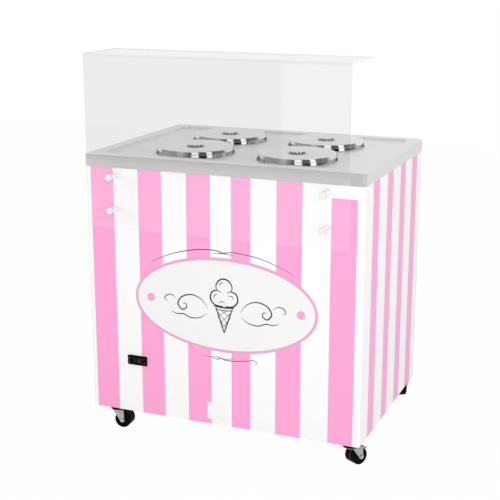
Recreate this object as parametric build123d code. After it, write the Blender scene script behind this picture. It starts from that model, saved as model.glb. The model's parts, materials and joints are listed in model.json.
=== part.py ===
from build123d import *
import os
from math import cos, radians, sin

# Gelato display cabinet, in millimetres. X is the width, Y runs from the front to the back and
# Z is up from the floor. Left and right are those of a person facing the front.

# Carcass
CAB_W = 1000.0
CAB_D = 718.0
CAB_H = 881.0
CASTER_H = 80.0
SHEET = 1.5
FOLD = 18.0
FOLD_R = 8.0
TRAY_T = 2.0
TRAY_H = 40.0

# Steel worktop
OVER_FRONT = 4.0
OVER_SIDE = 3.0
OVER_BACK = 28.0
TOP_H = 42.0
TOP_CORNER_R = 14.0
TOP_REAR_R = 40.0
TOP_EDGE_R = 4.0
RIM_W = 50.0
RIM_DROP = 8.0
SINK_R = 24.0

# Wells, counted from the front face; the four sit a little right of the middle
WELL_MID = 12.0
WELL_X = 188.0
WELL_FRONT = 200.0
WELL_BACK = 507.0
WELL_HOLE_R = 120.0
LID_R = 134.0
COLLAR_H = 12.0
TUB_R = 116.0
TUB_DEEP = 260.0

# Clear screen and its standoffs
SCREEN_W = 926.0
SCREEN_T = 5.0
SCREEN_GAP = 50.0
SCREEN_LOW = 683.0
SCREEN_HIGH = 1268.0
SHELF_D = 225.0
SCREEN_BEND = 12.0
STANDOFF_X = 379.0
STANDOFF_HEIGHTS = (742.0, 857.0)
BARREL_R = 9.0
CAP_R = 12.0
CAP_T = 9.0

# Applied bands: (start, width) along the front from the middle, and along the sides from the front
FRONT_BANDS = ((-482, 87), (-301, 88), (-121, 87), (42, 69), (202, 89), (389, 86))
SIDE_BANDS = ((91, 70), (261, 66), (426, 66), (584, 71))
BAND_T = 0.3
LAST_BAND_H = 837.0

# Oval sign
SIGN_X = 16.0
SIGN_H = 436.0
SIGN_W = 668.0
SIGN_TALL = 332.0
SIGN_T = 1.5
SIGN_BORDER = 8.5
DOT_X = 275.0
DOT_R = 14.8

# Controller and drain cover on the front
CTRL_X = -318.0
CTRL_H = 195.0
CTRL_W = 74.0
CTRL_TALL = 34.0
CTRL_T = 6.0
KEY = 8.4
KEY_U = 28.0
KEY_V = 7.5
COVER_X = -19.0
COVER_H = 49.0
COVER = 60.0

# Cold tank, foam and machine bay
TANK_X = 440.0
TANK_Y = 315.0
TANK_FLOOR = 700.0
FOAM_FLOOR = 650.0
PUMP_X = 180.0
COIL_X = (-330.0, 0.0)
COIL_Z = (110.0, 400.0)
COIL_T = 45.0
COIL_BACK = 23.0
SHROUD_T = 32.0
FAN_R = 100.0
SUCTION_R = 7.0
DISCHARGE_R = 5.0
LIQUID_R = 4.0
CAPILLARY_R = 2.0
INLET_X = 380.0
INLET_Z = 200.0

# Casters; the four swivel axes sit a little right of the middle
AXIS_MID = 21.2
AXIS_X = 440.6
AXIS_FRONT = 38.0
AXIS_REAR = 32.0
TRAIL = 22.0
WHEEL_R = 30.0
WHEEL_W = 45.6
LEG_IN = 24.3
LEG_OUT = 27.3
PIVOT_T = 14.0
PIVOT_Z = 62.6
PLATE = 31.0
BOLT_AT = 22.0
# Direction of each trailing wheel, in degrees from +X towards +Y
CASTER_ANGLE = {"fl": 4.0, "fr": 59.0, "bl": 150.0, "br": 122.0}

# Levels and faces that follow from the sizes above
FRONT = -(CAB_D + OVER_BACK - SCREEN_GAP - SCREEN_T - CAP_T) / 2
REAR = FRONT + CAB_D
MID_Y = FRONT + CAB_D / 2
BASE = CASTER_H
PANEL_TOP = BASE + CAB_H
RIM_Z = PANEL_TOP + TOP_H
FIELD_Z = RIM_Z - RIM_DROP
COLLAR_Z = FIELD_Z + COLLAR_H
SIDE = CAB_W / 2
INNER_X = SIDE - SHEET
INNER_Y = (FRONT + SHEET, REAR - SHEET)
SCREEN_Y = FRONT - SCREEN_GAP - SCREEN_T
COIL_Y = (REAR - COIL_BACK - COIL_T, REAR - COIL_BACK)
COIL_MID = (COIL_Y[0] + COIL_Y[1]) / 2
FAN_X = (COIL_X[0] + COIL_X[1]) / 2
FAN_Z = (COIL_Z[0] + COIL_Z[1]) / 2
SHROUD_Y = COIL_Y[0] - SHROUD_T
# Each corner's side, -1 for left, and whether it is at the back
CORNERS = {"fl": (-1, False), "fr": (1, False), "bl": (-1, True), "br": (1, True)}
STANDOFFS = [(side * STANDOFF_X, BASE + h) for side in (-1, 1) for h in STANDOFF_HEIGHTS]


def block(x, y, z):
    """A box between three (low, high) pairs."""
    pairs = (x, y, z)
    middle = [(low + high) / 2 for low, high in pairs]
    return Pos(*middle) * Box(*[high - low for low, high in pairs])


def post(x, y, z, radius):
    """An upright cylinder between two levels."""
    return Pos(x, y, (z[0] + z[1]) / 2) * Cylinder(radius, z[1] - z[0])


def pin(x, y, z, radius):
    """A cylinder along Y between two faces."""
    return Pos(x, (y[0] + y[1]) / 2, z) * Rot(90, 0, 0) * Cylinder(radius, y[1] - y[0])


def turned(edges):
    """A solid turned about Z from the edges of a half section in XZ."""
    return revolve(make_face(edges), Axis.Z)


def section(*points):
    """The edges through (radius, height) points, in order."""
    return Polyline(*[(r, 0, z) for r, z in points]).edges()


def arc(*points):
    """The edge of a circular arc through three (radius, height) points."""
    return ThreePointArc(*[(r, 0, z) for r, z in points]).edges()


def on_front(proud):
    """A plane ahead of the front panel: u is X, v is Z, and it faces the customer."""
    return Plane((0, FRONT - proud, 0), x_dir=(1, 0, 0), z_dir=(0, -1, 0))


def well_at(corner):
    side, at_back = CORNERS[corner]
    x = WELL_MID + side * WELL_X
    return Pos(x, FRONT + (WELL_BACK if at_back else WELL_FRONT), COLLAR_Z)


def caster_at(corner):
    side, at_back = CORNERS[corner]
    y = REAR - AXIS_REAR if at_back else FRONT + AXIS_FRONT
    return Pos(AXIS_MID + side * AXIS_X, y, 0)


def bolt_places():
    """The centres of the sixteen caster bolts."""
    for corner in CORNERS:
        for u in (-BOLT_AT, BOLT_AT):
            for v in (-BOLT_AT, BOLT_AT):
                yield caster_at(corner) * Pos(u, v, 0)


def base_frame():
    """Folded tray that carries the panels, the casters and the machine."""
    tray = block((-INNER_X, INNER_X), INNER_Y, (BASE, BASE + TRAY_H))
    inside = block(
        (-INNER_X + TRAY_T, INNER_X - TRAY_T),
        (INNER_Y[0] + TRAY_T, INNER_Y[1] - TRAY_T),
        (BASE + TRAY_T, BASE + TRAY_H),
    )
    holes = [place * post(0, 0, (BASE, BASE + TRAY_T), 3.2) for place in bolt_places()]
    return soften_front(tray) - inside - holes


def soften_front(shape):
    """Round the two upright front edges to sit inside the front panel's folds."""
    return fillet(shape.edges().filter_by(Axis.Z).group_by(Axis.Y)[0], FOLD_R)


def front_panel():
    """Front sheet with folded side edges, open for the controller and the standoff studs."""
    sheet = block((-SIDE, SIDE), (FRONT, FRONT + FOLD), (BASE, PANEL_TOP))
    corners = sheet.edges().filter_by(Axis.Z).group_by(Axis.Y)[0]
    sheet = fillet(corners, FOLD_R)
    hollow = block((-INNER_X, INNER_X), (FRONT + SHEET, FRONT + FOLD), (BASE, PANEL_TOP))
    inner = hollow.edges().filter_by(Axis.Z).group_by(Axis.Y)[0]
    sheet -= fillet(inner, FOLD_R - SHEET)
    sheet -= controller_block(71, 29, (FRONT, FRONT + SHEET))
    return sheet - [pin(x, (FRONT, FRONT + SHEET), z, 3.3) for x, z in STANDOFFS]


def side_panel(side):
    x = sorted((side * INNER_X, side * SIDE))
    return block(x, (FRONT + FOLD, REAR), (BASE, PANEL_TOP))


def rear_panel():
    """Rear sheet between the sides, slotted in front of the condenser and open for the inlet."""
    skin = (REAR - SHEET, REAR)
    sheet = block((-INNER_X, INNER_X), skin, (BASE, PANEL_TOP))
    slots = []
    for middle in (-250, -80, 180):
        for row in range(17):
            z = 118 + 18 * row
            slots.append(block((middle - 75, middle + 75), skin, (z - 4, z + 4)))
    socket = block((INLET_X - 14, INLET_X + 14), skin, (INLET_Z - 10, INLET_Z + 10))
    return sheet - slots - socket


def controller_block(width, tall, y):
    """A box in line with the controller."""
    x = (CTRL_X - width / 2, CTRL_X + width / 2)
    z = (BASE + CTRL_H - tall / 2, BASE + CTRL_H + tall / 2)
    return block(x, y, z)


def cover_block(y):
    """A box in line with the drain cover."""
    x = (COVER_X - COVER / 2, COVER_X + COVER / 2)
    z = (BASE + COVER_H - COVER / 2, BASE + COVER_H + COVER / 2)
    return block(x, y, z)


def oval(shrink, start, thick):
    """An elliptical slab in line with the sign."""
    shape = Ellipse(SIGN_W / 2 - shrink, SIGN_TALL / 2 - shrink)
    return extrude(on_front(start) * Pos(SIGN_X, BASE + SIGN_H) * shape, thick)


def front_stripes():
    """Applied bands, cut round the sign, the controller and the drain cover."""
    skin = (FRONT - BAND_T, FRONT)
    cut = [oval(-0.5, 0, BAND_T), cover_block(skin)]
    cut.append(controller_block(CTRL_W, CTRL_TALL, skin))
    bands = []
    for start, width in FRONT_BANDS:
        top = BASE + LAST_BAND_H if start == FRONT_BANDS[-1][0] else PANEL_TOP
        band = block((start, start + width), skin, (BASE, top)) - cut
        bands += band.solids()
    return Compound(bands)


def side_stripes():
    bands = []
    for x in ((-SIDE - BAND_T, -SIDE), (SIDE, SIDE + BAND_T)):
        for start, width in SIDE_BANDS:
            bands.append(block(x, (FRONT + start, FRONT + start + width), (BASE, PANEL_TOP)))
    return Compound(bands)


def sign_trim():
    """Border and two dots, lying on the sign plate."""
    border = oval(1, SIGN_T, BAND_T) - oval(1 + SIGN_BORDER, SIGN_T, BAND_T)
    plane = on_front(SIGN_T) * Pos(SIGN_X, BASE + SIGN_H)
    dots = [extrude(plane * Pos(u, 0) * Circle(DOT_R), BAND_T) for u in (-DOT_X, DOT_X)]
    return Compound(border.solids() + [s for dot in dots for s in dot.solids()])


def top_block(inset, z):
    """A box in line with the worktop's plan, drawn in by an inset."""
    x = SIDE + OVER_SIDE - inset
    return block((-x, x), (FRONT - OVER_FRONT + inset, REAR + OVER_BACK - inset), z)


def rounded_top(inset, z):
    """The worktop's plan with rounded corners and a rounded upper edge."""
    shape = top_block(inset, z)
    shape = fillet(shape.edges().filter_by(Axis.Z).sort_by(Axis.Y)[:2], TOP_CORNER_R - inset)
    shape = fillet(shape.edges().filter_by(Axis.Z).sort_by(Axis.Y)[-2:], TOP_REAR_R - inset)
    return fillet(shape.faces().sort_by(Axis.Z)[-1].edges(), TOP_EDGE_R - inset)


def worktop():
    """Pressed steel top: raised rim, sunk field with four holes, folded lower flange."""
    pan = rounded_top(0, (PANEL_TOP, RIM_Z))
    pan -= rounded_top(SHEET, (PANEL_TOP + SHEET, RIM_Z - SHEET))
    pan -= soften_front(block((-INNER_X, INNER_X), INNER_Y, (PANEL_TOP, PANEL_TOP + SHEET)))
    tray = top_block(RIM_W - SHEET, (FIELD_Z - SHEET, RIM_Z - SHEET / 2))
    pan += fillet(tray.edges().filter_by(Axis.Z), SINK_R)
    sink = top_block(RIM_W, (FIELD_Z, RIM_Z))
    sink = fillet(sink.edges().filter_by(Axis.Z), SINK_R - SHEET)
    pan -= fillet(sink.faces().sort_by(Axis.Z)[0].edges(), 2.5)
    for corner in CORNERS:
        drop = (-COLLAR_H - SHEET, -COLLAR_H)
        pan -= well_at(corner) * post(0, 0, drop, WELL_HOLE_R)
    return pan


def well_collar():
    """Ring round a well, rebated for the tub's rim. Heights count from the ring's top."""
    low = -COLLAR_H
    return turned(
        section(
            (118, low), (LID_R + 1.8, low), (LID_R + 0.2, -0.9), (LID_R - 0.7, 0),
            (126, 0), (126, -4), (118, -4), (118, low),
        )
    )


def tub():
    """Round gelato tub that hangs by its rim."""
    floor = -4 - TUB_DEEP
    inner = TUB_R - SHEET
    return turned(
        section(
            (0, floor), (TUB_R - 8, floor), (TUB_R - 2, floor + 2), (TUB_R, floor + 8),
            (TUB_R, -4), (125.5, -4), (125.5, -2), (inner, -2), (inner, floor + 8),
            (inner - 2, floor + 3.5), (inner - 7, floor + SHEET), (0, floor + SHEET), (0, floor),
        )
    )


def lid():
    """Lid with a tapered skirt, a dish round the knob and a ring that keeps it centred."""
    edges = section((132.1, 0.3), (133.2, 0.3), (LID_R, 1.1), (131.6, 9.5))
    edges += arc((131.6, 9.5), (130.75, 11.55), (128.8, 12.5))
    edges += arc((128.8, 12.5), (97.4, 13.1), (66, 13.4))
    edges += arc((66, 13.4), (60, 13.08), (54, 12.1)) + arc((54, 12.1), (48, 11.12), (42, 10.8))
    edges += section((42, 10.8), (0, 10.8), (0, 9), (42, 9))
    edges += arc((42, 9), (48.3, 9.32), (54.3, 10.3)) + arc((54.3, 10.3), (60.2, 11.28), (66, 11.6))
    edges += arc((66, 11.6), (94, 11.35), (121.5, 10.95))
    edges += section(
        (121.5, 10.95), (121.5, -1.5), (124, -1.5), (124, 10.9),
        (127.4, 10.7), (129.7, 9.2), (132.1, 0.3),
    )
    return turned(edges)


def knob():
    """Flat knob on a short neck, with the same taper to its rim as the lid's skirt."""
    return turned(
        section(
            (0, 10.8), (20, 10.8), (20, 14.2), (31.2, 14.2), (32, 15), (31.1, 18.2),
            (30.6, 18.9), (29.6, 19.2), (0, 19.8), (0, 10.8),
        )
    )


def tank_block(inset, z):
    """A box in line with the cold tank."""
    x = TANK_X - inset
    return block((-x, x), (MID_Y - TANK_Y + inset, MID_Y + TANK_Y - inset), z)


def pipe_bores(z):
    """Bores for the suction pipe and the capillary."""
    return [post(0, MID_Y, z, SUCTION_R + 1), post(70, MID_Y, z, CAPILLARY_R + 1)]


def cold_tank():
    tank = tank_block(0, (TANK_FLOOR, FIELD_Z - SHEET))
    tank -= tank_block(SHEET, (TANK_FLOOR + SHEET, FIELD_Z - SHEET))
    return tank - pipe_bores((TANK_FLOOR, TANK_FLOOR + SHEET))


def tank_foam():
    """Insulation between the tank and the panels, shaped to the rim and the standoff nuts."""
    foam = soften_front(block((-INNER_X, INNER_X), INNER_Y, (FOAM_FLOOR, FIELD_Z - SHEET)))
    under_rim = rounded_top(SHEET + 1, (PANEL_TOP, RIM_Z - SHEET - 1))
    foam -= top_block(0, (PANEL_TOP, RIM_Z)) - under_rim
    foam -= tank_block(0, (TANK_FLOOR, FIELD_Z - SHEET))
    foam -= pipe_bores((FOAM_FLOOR, TANK_FLOOR))
    return foam - [pin(x, (FRONT + SHEET, FRONT + 18), z, 8) for x, z in STANDOFFS]


def evaporator_plate():
    """Cold plate that stands between the two rows of tubs."""
    y = (MID_Y - 2, MID_Y + 2)
    plate = block((-380, 380), y, (730, 960))
    return plate + [block((x - 10, x + 10), y, (TANK_FLOOR + SHEET, 730)) for x in (-290, 290)]


def compressor():
    pot = fillet(post(0, 0, (106, 285), 72).edges(), 20)
    body = pot + block((-95, 95), (-65, 65), (103, 107)) + block((60, 95), (-30, 30), (150, 220))
    body += post(-30, 0, (280, 300), SUCTION_R)
    body += post(30, 0, (280, 300), DISCHARGE_R)
    return Pos(PUMP_X, MID_Y, 0) * body


def compressor_feet():
    floor = BASE + TRAY_T
    places = [(PUMP_X + u, MID_Y + v) for u in (-80, 80) for v in (-50, 50)]
    return Compound([post(x, y, (floor, 103), 14) for x, y in places])


def condenser():
    """Finned coil between two end plates that stand on the base."""
    ends = []
    for x in COIL_X:
        inner = x + (2 if x < FAN_X else -2)
        ends.append(block(sorted((x, inner)), COIL_Y, (BASE + TRAY_T, COIL_Z[1])))
    fins = []
    for i in range(1, 26):
        x = COIL_X[0] + i * (COIL_X[1] - COIL_X[0]) / 26
        fins.append(block((x - 0.5, x + 0.5), COIL_Y, COIL_Z))
    tubes = []
    for i in range(7):
        z = 140 + 38 * i
        tube = Pos(FAN_X, COIL_MID, z) * Rot(0, 90, 0) * Cylinder(5, COIL_X[1] - COIL_X[0])
        tubes.append(tube)
    outlet = Pos(6, COIL_MID, 140) * Rot(0, 90, 0) * Cylinder(LIQUID_R, 12)
    top = block(COIL_X, COIL_Y, (COIL_Z[1] - 2, COIL_Z[1]))
    inlet = post(-40, COIL_MID, (COIL_Z[1] - 1, COIL_Z[1] + 10), DISCHARGE_R)
    return ends[0] + ends[1] + fins + tubes + outlet + top + inlet


def fan_shroud():
    """Duct in front of the condenser with a round mouth."""
    duct = block(COIL_X, (SHROUD_Y, COIL_Y[0]), COIL_Z)
    x = (COIL_X[0] + SHEET, COIL_X[1] - SHEET)
    z = (COIL_Z[0] + SHEET, COIL_Z[1] - SHEET)
    duct -= block(x, (SHROUD_Y + SHEET, COIL_Y[0]), z)
    return duct - pin(FAN_X, (SHROUD_Y, SHROUD_Y + SHEET), FAN_Z, FAN_R + 4)


def fan_motor():
    """Motor with its shaft, carried on three arms from the shroud."""
    motor = pin(0, (-80, -18), 0, 34) + pin(0, (-18, 10), 0, 4)
    for turn in (90, 210, 330):
        arm = block((30, 126), (-24, -18), (-6, 6)) + block((114, 126), (-24, 0), (-6, 6))
        motor += Rot(0, turn, 0) * arm
    return Pos(FAN_X, SHROUD_Y, FAN_Z) * motor


def fan_blades():
    """Five pitched blades on a hub that runs on the motor shaft."""
    fan = pin(0, (-13, 14), 0, 26)
    for i in range(5):
        blade = Pos(61, 0, 0) * Rot(25, 0, 0) * Box(80, 2.5, 54)
        fan += Rot(0, 72 * i, 0) * blade
    fan &= pin(0, (-15, 15), 0, FAN_R)
    fan -= pin(0, (-13, 14), 0, 4.06)
    return Pos(FAN_X, SHROUD_Y, FAN_Z) * fan


def pipe(radius, bend, *points):
    """A pipe of straight runs joined by tangent bends."""
    path = FilletPolyline(*points, radius=bend)
    return sweep(Plane(path @ 0, z_dir=path % 0) * Circle(radius), path)


def refrigerant_pipes():
    """Suction, discharge and liquid lines, the drier, and the capillary to the cold plate."""
    drier_y = COIL_MID - 60
    suction_x = PUMP_X - 30
    discharge_x = PUMP_X + 30
    suction = pipe(
        SUCTION_R, 30,
        (suction_x, MID_Y, 300), (suction_x, MID_Y, 560), (0, MID_Y, 560), (0, MID_Y, 730),
    )
    discharge = pipe(
        DISCHARGE_R, 20,
        (discharge_x, MID_Y, 300), (discharge_x, MID_Y, 450), (discharge_x, COIL_MID, 450),
        (-40, COIL_MID, 450), (-40, COIL_MID, COIL_Z[1] + 10),
    )
    liquid = pipe(
        LIQUID_R, 15,
        (12, COIL_MID, 140), (70, COIL_MID, 140), (70, drier_y, 140), (70, drier_y, 180),
    )
    capillary = pipe(
        CAPILLARY_R, 15,
        (70, drier_y, 280), (70, drier_y, 590), (70, MID_Y, 590), (70, MID_Y, 730),
    )
    drier = fillet(post(70, drier_y, (180, 280), 14).edges(), 5)
    lines = (suction, discharge, liquid, drier, capillary)
    return Compound([solid for line in lines for solid in line.solids()])


def controller_bezel():
    """Panel controller: rounded bezel in front, case behind, seats for the window and keys."""
    face = controller_block(CTRL_W, CTRL_TALL, (FRONT - CTRL_T, FRONT))
    face = fillet(face.edges().filter_by(Axis.Y), 3)
    face = chamfer(face.faces().sort_by(Axis.Y)[0].edges(), 1)
    body = face + controller_block(70, 28, (FRONT, FRONT + 58))
    body -= controller_block(38, 24, (FRONT - CTRL_T, FRONT - CTRL_T + 2.5))
    for u, v in key_places():
        z = BASE + CTRL_H + v
        half = KEY / 2 + 0.3
        x = CTRL_X + u
        body -= block((x - half, x + half), (FRONT - CTRL_T, FRONT - 1), (z - half, z + half))
    return body


def key_places():
    return [(-KEY_U, KEY_V), (-KEY_U, -KEY_V), (KEY_U, KEY_V), (KEY_U, -KEY_V)]


def controller_key(u, v):
    key = Box(KEY, 4.4, KEY)
    key = fillet(key.edges().filter_by(Axis.Y), 1)
    key = chamfer(key.faces().sort_by(Axis.Y)[0].edges(), 0.4)
    return Pos(CTRL_X + u, FRONT - CTRL_T - 0.8 + 2.2, BASE + CTRL_H + v) * key


def mains_inlet():
    """Three-pin inlet set into the rear panel."""
    flange = Pos(0, REAR + 1.5, 0) * fillet(Box(50, 3, 24).edges().filter_by(Axis.Y), 4)
    body = flange + block((-14, 14), (REAR - 25, REAR), (-10, 10))
    recess = block((-12, 12), (REAR - 15, REAR + 3), (-8, 8))
    body -= fillet(recess.edges().filter_by(Axis.Y).group_by(Axis.Z)[0], 3.5)
    for u, v in ((-7, -2), (0, 2), (7, -2)):
        body += block((u - 1, u + 1), (REAR - 16, REAR - 1), (v - 2, v + 2))
    return Pos(INLET_X, 0, INLET_Z) * body


def drain_cover():
    cover = cover_block((FRONT - 2.5, FRONT))
    cover = fillet(cover.edges().filter_by(Axis.Y), 3)
    return chamfer(cover.faces().sort_by(Axis.Y)[0].edges(), 0.8)


def screen():
    """Clear sheet bent back at the top into a shelf, drilled for the standoffs."""
    x = (-SCREEN_W / 2, SCREEN_W / 2)
    top = BASE + SCREEN_HIGH
    sheet = block(x, (SCREEN_Y, SCREEN_Y + SCREEN_T), (BASE + SCREEN_LOW, top))
    sheet += block(x, (SCREEN_Y, SCREEN_Y + SHELF_D), (top - SCREEN_T, top))
    along = sheet.edges().filter_by(Axis.X)
    sheet = fillet(along.sort_by_distance((0, SCREEN_Y, top))[0], SCREEN_BEND)
    inner = (0, SCREEN_Y + SCREEN_T, top - SCREEN_T)
    along = sheet.edges().filter_by(Axis.X)
    sheet = fillet(along.sort_by_distance(inner)[0], SCREEN_BEND - SCREEN_T)
    holes = [pin(x, (SCREEN_Y, SCREEN_Y + SCREEN_T), z, 4) for x, z in STANDOFFS]
    return sheet - holes


def standoff(x, z):
    """Barrel with a tapped front end, and a stud and nut behind the panel."""
    barrel = pin(x, (FRONT - SCREEN_GAP, FRONT), z, BARREL_R)
    barrel -= pin(x, (FRONT - SCREEN_GAP, FRONT - 30), z, 3.2)
    barrel += pin(x, (FRONT - 1, FRONT + 12), z, 3)
    return barrel + pin(x, (FRONT + SHEET, FRONT + 7), z, 6)


def screen_cap(x, z):
    """Screw cap that clamps the screen to its barrel."""
    head = pin(x, (SCREEN_Y - CAP_T, SCREEN_Y), z, CAP_R)
    head = fillet(head.edges().sort_by(Axis.Y)[0], 2)
    return head + pin(x, (SCREEN_Y - 1, FRONT - 33), z, 3)


def caster_plate():
    """Fixed plate, boss and king pin of a caster."""
    plate = block((-PLATE, PLATE), (-PLATE, PLATE), (77, BASE))
    plate = fillet(plate.edges().filter_by(Axis.Z), 6)
    for u in (-BOLT_AT, BOLT_AT):
        for v in (-BOLT_AT, BOLT_AT):
            plate -= post(u, v, (77, BASE), 3.2)
    plate += post(0, 0, (70.3, 77), 20)
    plate += post(0, 0, (61, 71), 6)
    return plate + post(0, 0, (61, 65.7), 9)


def caster_bolt():
    bolt = post(0, 0, (76, 90), 3)
    bolt += extrude(Pos(0, 0, 73) * RegularPolygon(5.5, 6), 4)
    return bolt + extrude(Pos(0, 0, BASE + TRAY_T) * RegularPolygon(5.5, 6), 5)


def caster_slab(outline, low, high):
    """Extrude a side outline, drawn as (trail, height), across the caster."""
    return extrude(Plane((0, high, 0), x_dir=(1, 0, 0), z_dir=(0, -1, 0)) * outline, high - low)


def outline(*points):
    return make_face(Polyline(*points, close=True))


def fork(braked):
    """Swivelling fork. A braked one is drilled for the pedal's pivot."""
    leg = outline((-16, 70), (28, 70), (30.5, 28), (13.5, 28))
    leg += Pos(TRAIL, WHEEL_R) * Circle(9)
    leg -= Pos(TRAIL, WHEEL_R) * Circle(4.05)
    if braked:
        leg -= Pos(PIVOT_T, PIVOT_Z) * Circle(2.06)
    body = post(0, 0, (66, 70), 30)
    body += caster_slab(leg, LEG_IN, LEG_OUT) + caster_slab(leg, -LEG_OUT, -LEG_IN)
    return body - post(0, 0, (66, 70), 6.06)


def axle():
    rod = pin(TRAIL, (-LEG_OUT, LEG_OUT), WHEEL_R, 4)
    heads = ((-LEG_OUT - 4, -LEG_OUT), (LEG_OUT, LEG_OUT + 4))
    return rod + [pin(TRAIL, y, WHEEL_R, 6.5) for y in heads]


def wheel():
    """Rubber-tyred wheel with a proud hub and a groove round the tread."""
    half = WHEEL_W / 2
    side = [(20, half - 3), (22, half), (28, half), (29.3, half - 0.7), (WHEEL_R, half - 2)]
    side += [(WHEEL_R, 2.4), (WHEEL_R - 1.2, 1.6)]
    hub = [(4.08, half + 0.7), (9, half + 0.7), (9, half - 3)]
    upper = hub + side
    lower = [(r, -w) for r, w in reversed(upper)]
    spun = turned(section(*upper, *lower, upper[0]))
    return Pos(TRAIL, 0, WHEEL_R) * Rot(90, 0, 0) * spun


def wheel_arc(inner, outer, start, end):
    """A band round the axle between two radii and two angles in degrees."""
    turns = [radians(angle) for angle in (start, (start + end) / 2, end)]
    wedge = outline((0, 0), *[(2 * outer * cos(turn), 2 * outer * sin(turn)) for turn in turns])
    band = (Circle(outer) - Circle(inner)) & wedge
    return Pos(TRAIL, WHEEL_R) * band


def brake_pedal():
    """Curved pedal that tips down onto the tyre."""
    hood = wheel_arc(32.6, 35.2, 40, 104) + Pos(PIVOT_T, PIVOT_Z) * Circle(3.1)
    half = LEG_IN - 0.6
    return caster_slab(hood, -half, half) + pin(PIVOT_T, (-LEG_OUT, LEG_OUT), PIVOT_Z, 2)


NODES = {
    "base_frame": base_frame(),
    "front_panel": front_panel(),
    "left_panel": side_panel(-1),
    "right_panel": side_panel(1),
    "rear_panel": rear_panel(),
    "front_stripes": front_stripes(),
    "side_stripes": side_stripes(),
    "sign_plate": oval(0, 0, SIGN_T),
    "sign_trim": sign_trim(),
    "worktop": worktop(),
    "well_collars": Compound([well_at(corner) * well_collar() for corner in CORNERS]),
    "cold_tank": cold_tank(),
    "tank_foam": tank_foam(),
    "evaporator_plate": evaporator_plate(),
    "compressor": compressor(),
    "compressor_feet": compressor_feet(),
    "condenser": condenser(),
    "fan_shroud": fan_shroud(),
    "fan_motor": fan_motor(),
    "fan_blades": fan_blades(),
    "refrigerant_pipes": refrigerant_pipes(),
    "controller_bezel": controller_bezel(),
    "controller_window": controller_block(37.6, 23.6, (FRONT - CTRL_T + 0.4, FRONT - CTRL_T + 2.5)),
    "mains_inlet": mains_inlet(),
    "drain_cover": drain_cover(),
    "screen": screen(),
    "screen_standoffs": Compound([standoff(x, z) for x, z in STANDOFFS]),
    "screen_caps": Compound([screen_cap(x, z) for x, z in STANDOFFS]),
    "caster_plates": Compound([caster_at(corner) * caster_plate() for corner in CORNERS]),
    "caster_bolts": Compound([place * caster_bolt() for place in bolt_places()]),
}
for name, (u, v) in zip(("set", "up", "down", "power"), key_places()):
    NODES[f"key_{name}"] = controller_key(u, v)
for corner, (_, at_back) in CORNERS.items():
    NODES[f"lid_{corner}"] = well_at(corner) * lid()
    NODES[f"knob_{corner}"] = well_at(corner) * knob()
    NODES[f"tub_{corner}"] = well_at(corner) * tub()
    turned_caster = caster_at(corner) * Rot(0, 0, CASTER_ANGLE[corner])
    NODES[f"fork_{corner}"] = turned_caster * fork(braked=not at_back)
    NODES[f"axle_{corner}"] = turned_caster * axle()
    NODES[f"wheel_{corner}"] = turned_caster * wheel()
    if not at_back:
        NODES[f"brake_pedal_{corner}"] = turned_caster * brake_pedal()

os.makedirs("parts", exist_ok=True)
for name, shape in NODES.items():
    export_step(shape, f"parts/{name}.step")
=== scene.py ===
import json
import math

import bmesh
import bpy
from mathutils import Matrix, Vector
from mathutils.geometry import interpolate_bezier


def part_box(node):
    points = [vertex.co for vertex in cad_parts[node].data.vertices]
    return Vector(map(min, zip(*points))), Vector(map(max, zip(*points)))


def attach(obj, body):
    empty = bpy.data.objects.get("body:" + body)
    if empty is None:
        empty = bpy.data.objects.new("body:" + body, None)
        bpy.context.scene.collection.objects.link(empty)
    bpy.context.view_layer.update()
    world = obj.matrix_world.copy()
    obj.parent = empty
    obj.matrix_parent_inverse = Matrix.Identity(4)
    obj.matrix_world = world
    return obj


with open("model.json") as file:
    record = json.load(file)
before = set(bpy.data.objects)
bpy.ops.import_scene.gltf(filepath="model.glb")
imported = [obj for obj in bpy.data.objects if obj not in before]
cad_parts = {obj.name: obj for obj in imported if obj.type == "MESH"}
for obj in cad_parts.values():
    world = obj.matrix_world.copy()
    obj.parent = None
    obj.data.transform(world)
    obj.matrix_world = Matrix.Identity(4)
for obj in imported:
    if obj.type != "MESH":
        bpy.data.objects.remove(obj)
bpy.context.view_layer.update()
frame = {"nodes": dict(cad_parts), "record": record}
NODES = frame["nodes"]
JOINTS = {joint["name"]: joint for joint in frame["record"]["behaviour"]["joints"]}
CORNERS = ("fl", "fr", "bl", "br")

# Faces and levels of the cabinet, in metres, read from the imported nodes.
FRONT_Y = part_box("front_panel")[0].y
REAR_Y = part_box("rear_panel")[1].y
PANEL_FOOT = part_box("front_panel")[0].z
BAND_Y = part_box("front_stripes")[0].y
SIGN_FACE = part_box("sign_plate")[0].y


def middle(node):
    """The middle of a node's box."""
    low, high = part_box(node)
    return (low + high) / 2


def grey(level):
    return (level, level, level, 1.0)


# Building shader nodes

def feed(tree, socket, value):
    """Set a socket from a number or another socket."""
    if isinstance(value, (int, float)):
        socket.default_value = value
    else:
        tree.links.new(value, socket)


def span(tree, value, low, high, start=0.0, end=1.0):
    """Map start..end to a low..high range."""
    node = tree.nodes.new("ShaderNodeMapRange")
    for label, number in (("Value", value), ("From Min", start), ("From Max", end),
                          ("To Min", low), ("To Max", high)):
        feed(tree, node.inputs[label], number)
    return node.outputs["Result"]


def calc(tree, operation, *values):
    """A maths node on sockets or numbers."""
    node = tree.nodes.new("ShaderNodeMath")
    node.operation = operation
    for place, value in enumerate(values):
        feed(tree, node.inputs[place], value)
    return node.outputs[0]


def combine(tree, operation, first, second=None):
    """A vector maths node on a socket and, apart from a length, a socket or a fixed vector."""
    node = tree.nodes.new("ShaderNodeVectorMath")
    node.operation = operation
    tree.links.new(first, node.inputs[0])
    if operation == "SCALE":
        tree.links.new(second, node.inputs["Scale"])
    elif isinstance(second, tuple):
        node.inputs[1].default_value = second
    elif second is not None:
        tree.links.new(second, node.inputs[1])
    return node.outputs["Value" if operation == "LENGTH" else "Vector"]


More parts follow.
